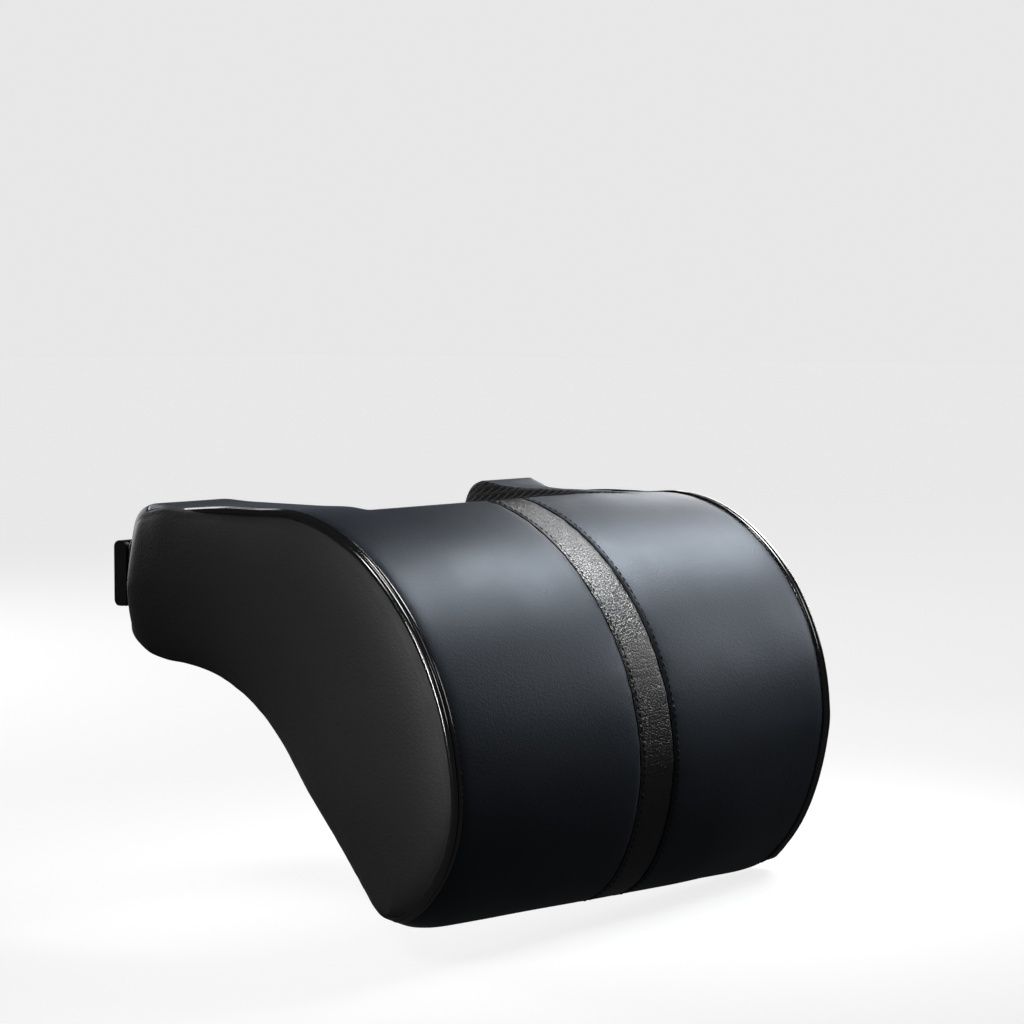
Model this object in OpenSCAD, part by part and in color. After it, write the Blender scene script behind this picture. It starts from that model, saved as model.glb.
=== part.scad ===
// Padded neck cushion that hooks over the top front edge of a seat back.
// It is U-shaped from above: two arms reach back on either side of the two posts
// that carry the headrest, and a buckled strap closes the U behind the posts.
//
// +X runs across the seat, +Y runs backwards, +Z runs up.
// The origin is the middle of the notch's front wall, level with the strap.

/* [Cushion] */
// Overall width across the seat
width = 280; // [240:5:320]
// Height of the cushion's top face above the strap's middle
top_z = 33; // [30:1:38]
// Width of the notch that clears the headrest posts
notch_w = 190; // [150:5:200]
// Width of the leather band down the middle of the front
band_w = 25; // [18:1:36]
// Thickness of the cover
cover_t = 1.6; // [1.2:0.1:2]
// Thickness of the foam's inner liner
liner_t = 0.6; // [0.4:0.1:1]

/* [Trim] */
// How far the end pipings stand out of the cover
piping_h = 2; // [1.5:0.25:3]
// Width of the end pipings
piping_w = 3; // [2:0.5:3]
// Distance of each topstitch line from its band seam
topstitch_gap = 2.6; // [2.4:0.2:6]

/* [Strap and buckle] */
// Width of the webbing
web_w = 25; // [20:1:25]
// Thickness of the webbing
web_t = 1.2; // [1:0.1:1.4]
// Thickness of the patch under the left anchor
patch_t = 2; // [1.5:0.25:3]
// Height of both buckle halves
buckle_h = 30; // [30:0.5:33]
// Thickness of the buckle's socket
buckle_t = 8; // [8:0.25:9]
// Place of the strap adjuster across the seat
glide_x = -36; // [-50:1:40]

/* [Zip] */
// Length of the zip
zip_l = 220; // [160:5:240]
// Place of the zip slider across the seat
slider_x = 102; // [20:1:102]

/* [Hidden] */
$fn = 48;
half_w = width / 2;
half_notch = notch_w / 2;
half_band = band_w / 2;
arc_steps = 9;

// Side profile, as [y, z]: the corner points of a chain of cubic curves.
notch_y = 0;
front_y = -90;
rear_y = 110;
bottom_z = -147;
under_z = -35;
bottom_y = -50;
// The zip lies on a flat land that climbs at 3 across to 4 up.
land_low = [-20, -107];
land_dir = [0.6, 0.8];
land_l = 30;
land_high = land_low + land_l * land_dir;

front_top = [5, top_z];
rear_top = [96, top_z];

front_curve = [front_top, [-40, top_z - 5], [front_y + 2, -20], [front_y, -83]];
toe_curve = [[front_y, -83], [front_y, -113], [-74, bottom_z], [bottom_y, bottom_z]];
heel_curve = [[bottom_y, bottom_z], [-36, bottom_z], land_low - 15 * land_dir, land_low];
hollow_curve = [land_high, land_high + 15 * land_dir, [28, under_z - 2], [77, under_z]];
tail_curve = [[77, under_z], [97, under_z], [rear_y, -29], [rear_y, -12]];
crown_curve = [[rear_y, -12], [rear_y, 8], [rear_y, top_z], rear_top];

function bezier(c, t) =
    pow(1 - t, 3) * c[0] + 3 * pow(1 - t, 2) * t * c[1]
    + 3 * (1 - t) * t * t * c[2] + pow(t, 3) * c[3];
// Points of one curve, without its last point, which starts the next curve.
function run(c, n = arc_steps) = [for (i = [0:n - 1]) bezier(c, i / n)];
function line(a, b, n) = [for (i = [0:n - 1]) a + (b - a) * i / n];

top_run = line(rear_top, front_top, 4);
front_run = run(front_curve, 14);
toe_run = run(toe_curve);
heel_run = run(heel_curve);
land_run = line(land_low, land_high, 2);
hollow_run = run(hollow_curve, 12);
tail_run = run(tail_curve, 6);
crown_run = run(crown_curve, 8);
outline = concat(top_run, front_run, toe_run, heel_run, land_run, hollow_run, tail_run, crown_run);
count = len(outline);

// Index of the first point of each stretch of the outline
toe_i = len(top_run) + len(front_run);
heel_i = toe_i + len(toe_run);
tail_i = heel_i + len(heel_run) + len(land_run) + len(hollow_run);

// The outline runs anticlockwise, so this normal points out of the cushion.
function unit(v) = v / norm(v);
function edge_dir(i) = unit(outline[(i + 1) % count] - outline[i % count]);
function normal(i) =
    let (d = unit(edge_dir(i) + edge_dir(i + count - 1))) [d[1], -d[0]];
function at(i, out) = outline[i % count] + out * normal(i % count);
function ring(out) = [for (i = [0:count - 1]) at(i, out)];

// Places along Y behind the arms
rear_gap = 0.3;
patch_y = rear_y + rear_gap;
anchor_y = patch_y + patch_t;
buckle_y = anchor_y + web_t + rear_gap;
buckle_mid = buckle_y + buckle_t / 2;
bar_r = 2.4;
wrap_gap = 0.1;
wrap_r = bar_r + wrap_gap + web_t;
strap_y = buckle_mid - wrap_r;

// Places along X of the buckle
socket_x0 = -134.6;
socket_x1 = -100;
catch_gap = 0.1;
male_bar_x = -85;
hinge_x = -102.2;
hinge_z = 9;
prong_l = 18;
prong_t = 3.4;
strap_end_x = half_w - 6;

// ---- shared shapes ----

// Runs a [y, z] outline along X from x0 to x1.
module along_x(x0, x1) {
    translate([x0, 0, 0]) rotate([90, 0, 90]) linear_extrude(x1 - x0) children();
}

// A box from one corner to the other
module box(low, high) {
    translate(low) cube(high - low);
}

// The space of the notch, grown by the given amount
module notch(grow = 0) {
    box([-half_notch - grow, notch_y - grow, bottom_z - 20], [half_notch + grow, rear_y + 20, top_z + 20]);
}

// The whole cushion, shrunk by the given amount on every face
module block(shrink) {
    difference() {
        along_x(-half_w + shrink, half_w - shrink) polygon(ring(-shrink));
        notch(shrink);
    }
}

// A layer that follows the outline from point i to point j, between two depths
module layer(i, j, low, high, x0, x1) {
    outer = [for (k = [i:j]) at(k, high)];
    inner = [for (k = [j:-1:i]) at(k, low)];
    along_x(x0, x1) polygon(concat(outer, inner));
}

// A layer of the cover that stops at the notch
module cover_layer(i, j, x0, x1) {
    difference() {
        layer(i, j, -cover_t, 0, x0, x1);
        notch();
    }
}

// ---- cushion ----

module foam_core() {
    color("gainsboro") block(cover_t + liner_t);
}

module foam_liner() {
    color("whitesmoke") difference() {
        block(cover_t);
        block(cover_t + liner_t);
    }
}

module end_panel(x0) {
    color([0.09, 0.09, 0.09]) along_x(x0, x0 + cover_t) polygon(ring(0));
}

module left_end_panel() {
    end_panel(-half_w);
}

module right_end_panel() {
    end_panel(half_w - cover_t);
}

module front_panel_left() {
    color([0.16, 0.17, 0.19]) cover_layer(0, heel_i, -half_w + cover_t, -half_band);
}

module front_panel_right() {
    color([0.16, 0.17, 0.19]) cover_layer(0, heel_i, half_band, half_w - cover_t);
}

module centre_band() {
    color([0.2, 0.2, 0.2]) cover_layer(0, heel_i, -half_band, half_band);
}

module under_panel() {
    color([0.1, 0.1, 0.11]) cover_layer(heel_i, tail_i, -half_w + cover_t, half_w - cover_t);
}

module arm_back_panel(x0, x1) {
    color([0.12, 0.12, 0.12]) layer(tail_i, count, -cover_t, 0, x0, x1);
}

module left_arm_back_panel() {
    arm_back_panel(-half_w + cover_t, -half_notch);
}

module right_arm_back_panel() {
    arm_back_panel(half_notch, half_w - cover_t);
}

module notch_lining() {
    color([0.13, 0.13, 0.13]) intersection() {
        along_x(-half_w + cover_t, half_w - cover_t) polygon(ring(-cover_t));
        difference() {
            notch(cover_t);
            notch();
        }
    }
}

// ---- piping and seams ----

// Runs over the top and down the front to the toe. The rest of the end panel's edge is plain.
module piping(x0) {
    color("black") layer(0, heel_i, 0, piping_h, x0, x0 + piping_w);
}

module left_piping() {
    piping(-half_w);
}

module right_piping() {
    piping(half_w - piping_w);
}

// A line of trim that runs from the notch, over the top and down the front to the toe
module front_trim(x, w, h) {
    difference() {
        layer(0, heel_i, 0, h, x - w / 2, x + w / 2);
        notch();
    }
}

module band_seam_left() {
    color("black") front_trim(-half_band, 1.2, 0.6);
}

module band_seam_right() {
    color("black") front_trim(half_band, 2.4, 0.8);
}

module topstitch_left() {
    color([0.05, 0.05, 0.05]) front_trim(-half_band + topstitch_gap, 0.7, 0.4);
}

module topstitch_right() {
    color([0.05, 0.05, 0.05]) front_trim(half_band + topstitch_gap, 0.7, 0.4);
}

// ---- zip on the land under the cushion ----

tape_w = 11;
tape_t = 0.8;
chain_w = 4;
chain_h = 1.2;
stop_l = 2.5;
slider_l = 9;
slider_w = 8;
slider_clear = 0.3;
slider_wall = 0.9;
post_h = 1.2;
arch_h = 2.6;
pull_l = 24;
pull_w = 6;
pull_t = 1.2;
pin_r = 0.7;
eye_r = 1.6;
slider_top = tape_t + chain_h + slider_clear + slider_wall;
pull_pin_h = slider_top + arch_h - pin_r;

// Local frame of the land: X along the zip, Y down the slope, Z out of the cushion
module on_land() {
    middle = land_low + land_l / 2 * land_dir;
    translate([0, middle[0], middle[1]])
        rotate([180 + atan2(land_dir[1], land_dir[0]), 0, 0]) children();
}

module zip_tape(side) {
    color("black") on_land()
        translate([-zip_l / 2, side > 0 ? chain_w / 2 : -tape_w, 0])
        cube([zip_l, tape_w - chain_w / 2, tape_t]);
}

module zip_tape_upper() {
    zip_tape(-1);
}

module zip_tape_lower() {
    zip_tape(1);
}

module zip_teeth() {
    color([0.08, 0.08, 0.08]) on_land()
        box([-zip_l / 2 + stop_l, -chain_w / 2, 0], [zip_l / 2 - stop_l, chain_w / 2, tape_t + chain_h]);
}

module zip_stops() {
    color([0.08, 0.08, 0.08]) on_land() for (side = [-1, 1])
        translate([side * (zip_l - stop_l) / 2, 0, (tape_t + chain_h + 0.4) / 2])
        cube([stop_l, chain_w, tape_t + chain_h + 0.4], center = true);
}

module zip_slider() {
    color([0.15, 0.15, 0.16]) on_land() translate([slider_x, 0, 0]) {
        // top plate and its two side walls, clear of the chain
        box([-slider_l / 2, -slider_w / 2, slider_top - slider_wall], [slider_l / 2, slider_w / 2, slider_top]);
        for (side = [-1, 1])
            translate([0, side * (slider_w - slider_wall) / 2, (slider_top + tape_t + slider_clear) / 2])
            cube([slider_l, slider_wall, slider_top - tape_t - slider_clear], center = true);
        // two ears that hold the pull's pin
        for (side = [-1, 1])
            translate([0, side * (pull_w / 2 + 0.3), slider_top + arch_h / 2 - 0.3])
            cube([3, 0.9, arch_h + 0.6], center = true);
        translate([0, 0, pull_pin_h]) rotate([90, 0, 0])
            cylinder(r = pin_r, h = pull_w + 0.9, center = true);
    }
}

module zip_pull() {
    color([0.15, 0.15, 0.16]) on_land() translate([slider_x, 0, pull_pin_h]) difference() {
        union() {
            rotate([90, 0, 0]) cylinder(r = eye_r, h = pull_w - 0.9, center = true);
            box([-pull_l, -(pull_w - 0.9) / 2, -pull_t / 2], [0, (pull_w - 0.9) / 2, pull_t / 2]);
        }
        rotate([90, 0, 0]) cylinder(r = pin_r + 0.08, h = pull_w + 2, center = true);
    }
}

// ---- strap, anchors and buckle ----

// A flat piece of webbing from x0 to x1, with its near face at y
module web(x0, x1, y, w = web_w) {
    box([x0, y, -w / 2], [x1, y + web_t, w / 2]);
}

// A half turn of webbing round an upright bar, open towards +X or -X
module web_turn(x, y, facing, inner = bar_r + wrap_gap) {
    translate([x, y, -web_w / 2]) difference() {
        cylinder(r = inner + web_t, h = web_w);
        translate([0, 0, -1]) cylinder(r = inner, h = web_w + 2);
        translate([facing > 0 ? 0 : -10, -10, -1]) cube([10, 20, web_w + 2]);
    }
}

end_wall = 2.6;
socket_bar_x = socket_x0 + end_wall + wrap_r + 0.9;
anchor_end_x = -104;

// Sewn flat on the arm, then turned round the bar behind the socket's end wall
module left_anchor_webbing() {
    color([0.04, 0.04, 0.04]) {
        web(socket_bar_x - wrap_r, anchor_end_x, anchor_y);
        box([socket_bar_x - wrap_r, anchor_y, -web_w / 2],
            [socket_bar_x - wrap_r + web_t, buckle_mid, web_w / 2]);
        web_turn(socket_bar_x, buckle_mid, 1);
        web(socket_bar_x, socket_bar_x + 3.2, buckle_mid + wrap_r - web_t);
    }
}

// A padded leather patch on the back of an arm, between two depths
module anchor_patch(x0, x1, y1) {
    color([0.08, 0.08, 0.08]) box([x0, patch_y, -web_w / 2 - 4], [x1, y1, web_w / 2 + 4]);
}

module left_anchor_patch() {
    anchor_patch(-half_w + 4, -half_notch - 5, anchor_y);
}

module right_anchor_patch() {
    anchor_patch(half_notch + 5, half_w - 4, strap_y);
}

// Two bars of dense stitching over each sewn end of webbing
module anchor_stitches() {
    color([0.06, 0.06, 0.06]) for (x = [half_notch + 9, strap_end_x - 4])
        box([x - 1.2, strap_y + web_t, -web_w / 2 + 1], [x + 1.2, strap_y + web_t + 0.6, web_w / 2 - 1]);
}

socket_wall = 1.7;
socket_body_x = -122.7;
rail_y = 5;
rail_z = 2.3;
cavity_h = 24.6;
cavity_l = 21;
end_round = 3;
window_x0 = -120.7;
window_x1 = -112;

// Two short rails that join a webbing bar to its buckle half, and the bar between them
module bar_frame(x0, x1, bar_x) {
    for (side = [-1, 1])
        translate([(x0 + x1) / 2, buckle_mid, side * (buckle_h - rail_z) / 2])
        cube([x1 - x0, rail_y, rail_z], center = true);
    translate([bar_x, buckle_mid, 0]) cylinder(r = bar_r, h = buckle_h, center = true);
}

// The wall that closes the socket's end, with rounded corners
module socket_end() {
    reach_y = buckle_t / 2 - end_round;
    reach_z = buckle_h / 2 - end_round;
    along_x(socket_x0, socket_x0 + end_wall) translate([buckle_mid, 0]) {
        square([2 * reach_y, buckle_h], center = true);
        square([buckle_t, 2 * reach_z], center = true);
        for (y = [-1, 1], z = [-1, 1])
            translate([y * reach_y, z * reach_z]) circle(r = end_round);
    }
}

// The half that the prongs click into: a flat box with a window on each edge
module buckle_socket() {
    color([0.02, 0.02, 0.02]) difference() {
        union() {
            box([socket_body_x, buckle_y, -buckle_h / 2], [socket_x1, buckle_y + buckle_t, buckle_h / 2]);
            bar_frame(socket_x0 + 1, socket_body_x + 1, socket_bar_x);
            socket_end();
        }
        box([socket_x1 - cavity_l, buckle_y + socket_wall, -cavity_h / 2],
            [socket_x1 + 1, buckle_y + buckle_t - socket_wall, cavity_h / 2]);
        box([window_x0, buckle_y + socket_wall, -buckle_h], [window_x1, buckle_y + buckle_t - socket_wall, buckle_h]);
    }
}

// The half on the strap: a flange, a centre tongue and a bar for the webbing
module buckle_plug() {
    color([0.02, 0.02, 0.02]) {
        box([socket_x1 + catch_gap, buckle_y + 0.5, -buckle_h / 2],
            [socket_x1 + 6, buckle_y + buckle_t - 0.5, buckle_h / 2]);
        box([socket_x1 - 20, buckle_mid - 1.9, -2], [socket_x1 + 1, buckle_mid + 1.9, 2]);
        bar_frame(socket_x1 + 5, male_bar_x, male_bar_x);
    }
}

// A springy arm with a shoulder that catches in the socket's window
module prong(side) {
    shoulder_out = buckle_h / 2 - 0.4 - hinge_z;
    color([0.02, 0.02, 0.02]) translate([hinge_x, buckle_mid, side * hinge_z])
        rotate([90, 0, 0]) linear_extrude(3.8, center = true) scale([1, side]) union() {
            circle(r = prong_t / 2);
            polygon([[0, -prong_t / 2], [0, prong_t / 2], [-10.4, prong_t / 2 + 0.6],
                [-10.6, shoulder_out], [-13, shoulder_out], [-prong_l, prong_t / 2],
                [-prong_l, -prong_t / 2 + 1]]);
        }
}

module prong_upper() {
    prong(1);
}

module prong_lower() {
    prong(-1);
}

// Runs from the buckle's bar across the notch to the right arm
module strap_main() {
    color([0.05, 0.05, 0.05]) {
        web(male_bar_x, strap_end_x, strap_y);
        web_turn(male_bar_x, buckle_mid, 1);
    }
}

// Comes back from the buckle's bar to the adjuster's middle bar, where it is sewn
module strap_return() {
    color([0.05, 0.05, 0.05]) {
        web(male_bar_x, glide_x, buckle_mid + wrap_r - web_t);
        web_turn(glide_x, glide_bar_y, -1, glide_turn_r);
    }
}

glide_l = 24;
glide_rail = 2.6;
glide_bar = 2.4;
glide_clear = 0.35;
glide_bar_r = 1.3;
glide_turn_r = 1.8;
glide_bar_y = buckle_mid + wrap_r - web_t - glide_turn_r;

// Two side rails, two end bars in front of the strap and a middle bar behind it
module tri_glide() {
    side_z = web_w / 2 + glide_clear + glide_rail / 2;
    front = strap_y - glide_clear - glide_bar;
    color([0.02, 0.02, 0.02]) {
        for (side = [-1, 1])
            box([glide_x - glide_l / 2, front, side * side_z - glide_rail / 2],
                [glide_x + glide_l / 2, glide_bar_y + glide_bar_r, side * side_z + glide_rail / 2]);
        for (side = [-1, 1])
            translate([glide_x + side * (glide_l - 3.2) / 2, front + glide_bar / 2, 0])
            cube([3.2, glide_bar, 2 * side_z], center = true);
        translate([glide_x, glide_bar_y, 0]) cylinder(r = glide_bar_r, h = 2 * side_z, center = true);
    }
}

foam_core();
foam_liner();
left_end_panel();
right_end_panel();
front_panel_left();
front_panel_right();
centre_band();
under_panel();
left_arm_back_panel();
right_arm_back_panel();
notch_lining();
left_piping();
right_piping();
band_seam_left();
band_seam_right();
topstitch_left();
topstitch_right();
zip_tape_upper();
zip_tape_lower();
zip_teeth();
zip_stops();
zip_slider();
zip_pull();
left_anchor_patch();
left_anchor_webbing();
right_anchor_patch();
anchor_stitches();
buckle_socket();
buckle_plug();
prong_upper();
prong_lower();
strap_main();
strap_return();
tri_glide();
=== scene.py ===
"""Looks of the headrest neck cushion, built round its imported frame. Lengths are in metres."""

import math

import bmesh
import bpy
import numpy as np
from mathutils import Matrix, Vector, noise
from mathutils.bvhtree import BVHTree


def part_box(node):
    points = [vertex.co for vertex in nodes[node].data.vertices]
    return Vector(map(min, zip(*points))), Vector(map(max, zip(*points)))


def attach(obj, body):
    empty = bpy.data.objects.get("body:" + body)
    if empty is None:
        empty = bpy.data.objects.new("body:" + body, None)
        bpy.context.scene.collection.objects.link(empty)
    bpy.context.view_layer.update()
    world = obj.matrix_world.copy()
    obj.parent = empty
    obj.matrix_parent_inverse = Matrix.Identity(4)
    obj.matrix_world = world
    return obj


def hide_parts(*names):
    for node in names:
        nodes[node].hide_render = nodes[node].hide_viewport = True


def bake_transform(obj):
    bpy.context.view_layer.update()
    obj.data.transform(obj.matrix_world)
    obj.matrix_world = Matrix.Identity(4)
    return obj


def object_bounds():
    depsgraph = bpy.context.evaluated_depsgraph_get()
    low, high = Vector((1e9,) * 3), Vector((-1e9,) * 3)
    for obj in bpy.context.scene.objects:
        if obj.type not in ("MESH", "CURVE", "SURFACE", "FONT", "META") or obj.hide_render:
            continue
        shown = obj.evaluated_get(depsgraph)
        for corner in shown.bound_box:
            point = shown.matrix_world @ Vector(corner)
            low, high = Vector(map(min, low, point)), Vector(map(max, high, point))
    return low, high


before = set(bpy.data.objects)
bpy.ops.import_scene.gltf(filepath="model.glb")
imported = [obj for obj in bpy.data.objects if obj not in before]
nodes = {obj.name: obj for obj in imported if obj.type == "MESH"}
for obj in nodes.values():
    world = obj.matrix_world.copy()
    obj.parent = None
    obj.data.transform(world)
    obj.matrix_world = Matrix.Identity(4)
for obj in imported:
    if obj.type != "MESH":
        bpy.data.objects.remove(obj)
cad_low, cad_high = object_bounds()
scene = bpy.context.scene
MM = 0.001

# ---- camera

CAMERA_AZIMUTH = math.radians(-50)
CAMERA_ELEVATION = math.radians(4)
CAMERA_PLACE = (-1.0279, -0.8665, 0.1203)
CAMERA_LENS = 101.3


def new_object(name, data):
    made = bpy.data.objects.new(name, data)
    scene.collection.objects.link(made)
    return made


def aim(thing, place, way):
    """Puts a camera or a light at a place, pointing along a way."""
    thing.location = place
    thing.rotation_mode = "QUATERNION"
    thing.rotation_quaternion = way.to_track_quat("-Z", "Y")


def make_camera():
    data = bpy.data.cameras.new("camera")
    data.lens = CAMERA_LENS
    data.sensor_width = 36
    data.clip_start = 0.05
    data.clip_end = 50
    camera = new_object("camera", data)
    turn, rise = CAMERA_AZIMUTH, CAMERA_ELEVATION
    back = Vector((math.sin(turn) * math.cos(rise), -math.cos(turn) * math.cos(rise), math.sin(rise)))
    aim(camera, CAMERA_PLACE, -back)
    scene.camera = camera


make_camera()

# ---- materials


class Graph:
    """A material's nodes, with short ways to add and join them."""

    def __init__(self, name):
        self.material = bpy.data.materials.new(name)
        self.material.use_nodes = True
        self.tree = self.material.node_tree
        self.shader = self.tree.nodes["Principled BSDF"]
        self.place = self.tree.nodes.new("ShaderNodeTexCoord").outputs["Object"]

    def add(self, kind, output, inputs, **settings):
        """A new node with its settings and inputs filled in, as one of its outputs."""
        node = self.tree.nodes.new("ShaderNode" + kind)
        for key, value in settings.items():
            setattr(node, key, value)
        for key, value in inputs.items():
            self.fill(node.inputs[key], value)
        return node.outputs[output]

    def fill(self, socket, value):
        if isinstance(value, bpy.types.NodeSocket):
            self.tree.links.new(value, socket)
        else:
            socket.default_value = value

    def set(self, **sockets):
        for key, value in sockets.items():
            self.fill(self.shader.inputs[key.replace("_", " ")], value)

    def stretched(self, scale):
        """The object's coordinates, scaled."""
        return self.add("Mapping", "Vector", {"Vector": self.place, "Scale": scale})

    def noise(self, scale, detail, roughness, place=None, distortion=0.0):
        inputs = {"Vector": place or self.place, "Scale": scale, "Detail": detail}
        inputs |= {"Roughness": roughness, "Distortion": distortion}
        return self.add("TexNoise", "Fac", inputs)

    def cells(self, scale, feature="SMOOTH_F1", place=None):
        inputs = {"Vector": place or self.place, "Scale": scale}
        return self.add("TexVoronoi", "Distance", inputs, feature=feature)

    def math(self, operation, a, b=0.0):
        return self.add("Math", 0, {0: a, 1: b}, operation=operation)

    def ranged(self, value, low, high, to_low, to_high):
        inputs = {"From Min": low, "From Max": high, "To Min": to_low, "To Max": to_high}
        return self.add("MapRange", "Result", {"Value": value} | inputs)

    def varied(self, value, low, high):
        """A noise spread over a range, from its usual low to its usual high."""
        return self.ranged(value, 0.3, 0.7, low, high)

    def mixed(self, factor, a, b):
        return self.add("Mix", "Result", {"Factor": factor, "A": a, "B": b}, data_type="RGBA")

    def bump(self, height, distance, strength=1.0, under=None):
        inputs = {"Height": height, "Distance": distance, "Strength": strength}
        if under is not None:
            inputs["Normal"] = under
        return self.add("Bump", "Normal", inputs)

    def wave(self, way, pitch):
        """A sine wave across the object, along the given way."""
        ripple = Vector(way).normalized() * (2 * math.pi / pitch)
        place = self.add("VectorMath", "Value", {0: self.place, 1: ripple}, operation="DOT_PRODUCT")
        return self.math("SINE", place)


def rgba(r, g, b):
    return (r, g, b, 1.0)


def grey(tone):
    return rgba(tone, tone, tone)


# How far the roughness of smooth leather strays each way
POLISH = 0.03


def smooth_leather(name, dark, light, rough, grain, **sockets):
    """Fine-grained faux leather: small flat pebbles, pores and a little uneven polish."""
    g = Graph(name)
    pebbles = g.cells(1150)
    pores = g.noise(2600, 3, 0.6)
    waves = g.noise(38, 3, 0.55)
    patches = g.noise(14, 2, 0.5)
    g.set(Base_Color=g.mixed(g.varied(patches, 0, 1), rgba(*dark), rgba(*light)))
    polish = g.varied(waves, rough - POLISH, rough + POLISH)
    g.set(Roughness=g.math("ADD", polish, g.varied(pores, -0.02, 0.02)))
    coarse = g.bump(waves, 0.0003, 0.1)
    fine = g.bump(pebbles, 0.0002, grain, coarse)
    g.set(Normal=g.bump(pores, 0.00005, grain, fine), **sockets)
    return g.material


def make_band_leather():
    """Pebbled leather with creases that run across the band."""
    g = Graph("band_leather")
    pebbles = g.cells(600, "DISTANCE_TO_EDGE", g.stretched((1, 1.1, 1.25)))
    small = g.cells(1500)
    # Painted shade: valley is 0 in the low cracks between the pebbles, which get the darker colour where
    # the bump sinks in.
    valley = g.ranged(pebbles, 0.0, 0.16, 0, 1)
    creases = g.noise(1.0, 3, 0.55, g.stretched((45, 330, 560)), 0.3)
    lines = g.ranged(creases, 0.35, 0.5, 0, 1)
    patches = g.noise(45, 3, 0.6)
    g.set(Base_Color=g.mixed(valley, grey(0.005), rgba(0.009, 0.0088, 0.0085)))
    g.set(Roughness=g.varied(patches, 0.29, 0.35), Specular_IOR_Level=1.0)
    folds = g.bump(lines, 0.0003, 0.16)
    grain = g.bump(valley, 0.0003, 0.33, folds)
    g.set(Normal=g.bump(small, 0.00005, 0.15, grain))
    return g.material


def one_noise(name, texture, dark, light, rough, bump, **sockets):
    """A material whose colour, polish and surface all follow one noise."""
    g = Graph(name)
    grain = g.noise(*texture)
    g.set(Base_Color=g.mixed(grain, rgba(*dark), rgba(*light)), Roughness=g.varied(grain, *rough))
    g.set(Normal=g.bump(grain, *bump), **sockets)
    return g.material


def make_mesh_fabric():
    """Spacer mesh: rows of small round holes in a knitted face, painted dark as painted shade and dented
    by the bump.
    """
    g = Graph("mesh_fabric")
    rows = g.wave((1, 0.8, 1), 4.6 * MM)
    lines = g.wave((1, -0.1, -1), 4.6 * MM)
    knit = g.noise(2400, 2, 0.6)
    # Painted shade: rim is 0 in the holes, which get a near-black colour where the bump sinks in; the
    # knitted face between them is lighter.
    rim = g.ranged(g.math("ABSOLUTE", g.math("MULTIPLY", rows, lines)), 0.3, 0.6, 1, 0)
    g.set(Base_Color=g.mixed(rim, grey(0.004), rgba(0.030, 0.030, 0.033)))
    g.set(Roughness=g.varied(knit, 0.8, 0.95), Sheen_Weight=0.25, Sheen_Roughness=0.5)
    g.set(Normal=g.bump(knit, 0.0002, 0.6, g.bump(rim, 0.0007, 0.9)))
    return g.material


def make_webbing():
    """Woven webbing: ribs along its length, crossed by the weft."""
    g = Graph("webbing")
    ribs = g.wave((0, 0, 1), 1.45 * MM)
    weave = g.math("MULTIPLY", ribs, g.wave((1, 0, 0), 0.9 * MM))
    fuzz = g.noise(3200, 2, 0.6)
    # Painted shade: the colour is darker where the weave lies low, in the grooves between the ribs,
    # where the bump sinks in.
    level = g.ranged(g.math("ADD", weave, g.math("MULTIPLY", ribs, 0.7)), -1.5, 1.5, 0, 1)
    g.set(Base_Color=g.mixed(level, grey(0.004), rgba(0.020, 0.020, 0.021)))
    g.set(Roughness=g.varied(fuzz, 0.62, 0.8), Sheen_Weight=0.15)
    g.set(Normal=g.bump(fuzz, 0.0001, 0.5, g.bump(level, 0.00035, 0.9)))
    return g.material


def make_plastic():
    """Moulded acetal with a faint spark-eroded texture."""
    g = Graph("buckle_plastic")
    texture = g.noise(1900, 3, 0.6)
    broad = g.noise(70, 2, 0.5)
    g.set(Base_Color=g.mixed(broad, grey(0.007), grey(0.011)))
    g.set(Roughness=g.varied(broad, 0.36, 0.46), Specular_IOR_Level=0.5)
    g.set(Normal=g.bump(texture, 0.00006, 0.6))
    return g.material


def make_zip_metal():
    g = Graph("zip_metal")
    scuffs = g.noise(420, 4, 0.65)
    worn = g.ranged(scuffs, 0.35, 0.7, 0, 1)
    g.set(Base_Color=g.mixed(worn, rgba(0.16, 0.16, 0.17), rgba(0.26, 0.26, 0.27)))
    g.set(Metallic=0.85, Roughness=g.varied(scuffs, 0.28, 0.45))
    g.set(Normal=g.bump(scuffs, 0.00008, 0.4))
    return g.material


def make_foam(name, tone, scale):
    """Pale foam or felt with small pores; the colour inside them is painted darker and warmer, as
    painted shade in the pores.
    """
    g = Graph(name)
    pores = g.cells(scale, "F1")
    # Painted shade: the pore colour is darker and warmer where the bump sinks in.
    inside, face = rgba(tone * 0.7, tone * 0.68, tone * 0.62), rgba(tone, tone, tone * 0.96)
    g.set(Base_Color=g.mixed(pores, inside, face))
    g.set(Roughness=g.ranged(pores, 0, 0.6, 0.8, 0.95), Normal=g.bump(pores, 0.0004, 0.6))
    return g.material


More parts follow.
